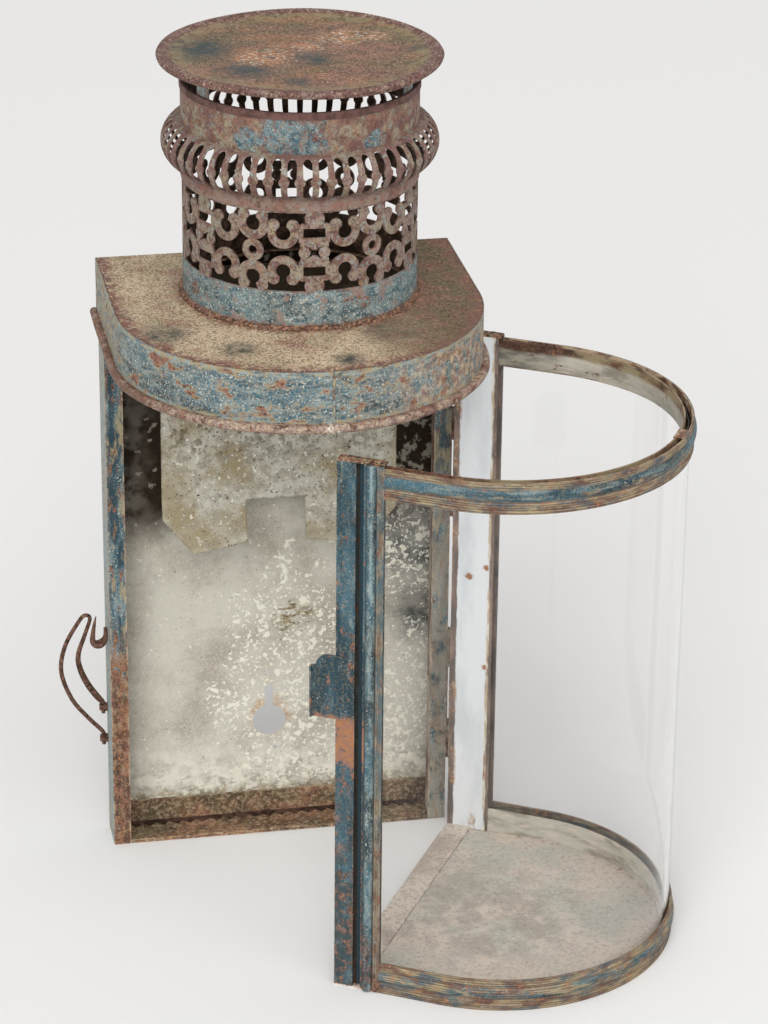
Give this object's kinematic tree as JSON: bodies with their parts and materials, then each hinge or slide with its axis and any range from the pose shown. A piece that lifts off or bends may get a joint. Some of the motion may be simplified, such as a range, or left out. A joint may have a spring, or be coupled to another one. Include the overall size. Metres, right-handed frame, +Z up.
{
  "type": "wall lantern",
  "caption": "Punched tin wall lantern: shallow case with keyhole back, D-shaped roof, pierced round chimney under a flat cap, and a bow-fronted glazed door hinged at the right.",
  "frame": {"origin": "middle of the bottom edge of the face that lies against the wall", "axes": "+X to the viewer's right, +Y into the wall, +Z up"},
  "size_m": [0.2924, 0.228, 0.4348],
  "materials": {
    "post_tin": "worn blue paint over rust",
    "back_tin": "bare grey tin with flecks",
    "roof_tin": "tan and olive patina",
    "reflector_tin": "dull bare tin",
    "chimney_tin": "mauve grey patina",
    "cap_tin": "brown olive patina",
    "hinge_tin": "dull worn tin",
    "wire_iron": "dark brown iron",
    "rail_tin": "rust with traces of blue paint",
    "inner_tin": "taupe bare tin",
    "glass": "old clear glass",
    "stile_tin": "worn blue paint"
  },
  "bodies": {
    "case": {"back_panel": "back_tin", "left_post": "post_tin", "right_post": "post_tin", "bottom_tray": "back_tin", "tray_teeth": "back_tin", "roof_plate": "roof_tin", "roof_skirt": "roof_tin", "roof_rim": "roof_tin", "reflector": "reflector_tin", "chimney_foot": "chimney_tin", "chimney_drum": "chimney_tin", "chimney_gallery": "chimney_tin", "chimney_collar": "chimney_tin", "cap_legs": "chimney_tin", "cap_disc": "cap_tin", "upper_hinge_case_leaf": "hinge_tin", "lower_hinge_case_leaf": "hinge_tin", "upper_hinge_pin": "hinge_tin", "lower_hinge_pin": "hinge_tin", "side_hook": "wire_iron", "loop_eyes": "wire_iron"},
    "door": {"top_rail": "rail_tin", "bottom_rail": "rail_tin", "top_liner": "inner_tin", "bottom_liner": "inner_tin", "door_glass": "glass", "door_floor": "inner_tin", "door_sill": "inner_tin", "latch_stile": "stile_tin", "hinge_stile": "stile_tin", "latch_stile_bead": "stile_tin", "hinge_stile_bead": "stile_tin", "latch_stile_cap": "stile_tin", "hinge_stile_cap": "stile_tin", "pull_tab": "stile_tin", "glass_clip": "rail_tin", "upper_hinge_door_leaf": "hinge_tin", "lower_hinge_door_leaf": "hinge_tin"},
    "loop": {"wire_loop": "wire_iron"}
  },
  "joints": [
    {"name": "door_hinge", "type": "hinge", "parent": "case", "child": "door", "pos_m": [0.09, -0.0231, 0], "axis": [0, 0, 1], "range_deg": [-59.5, 35.5]},
    {"name": "loop_swing", "type": "hinge", "parent": "case", "child": "loop", "pos_m": [-0.0893, -0.0021, 0], "axis": [0, 0, 1], "range_deg": [0, 60]}
  ]
}
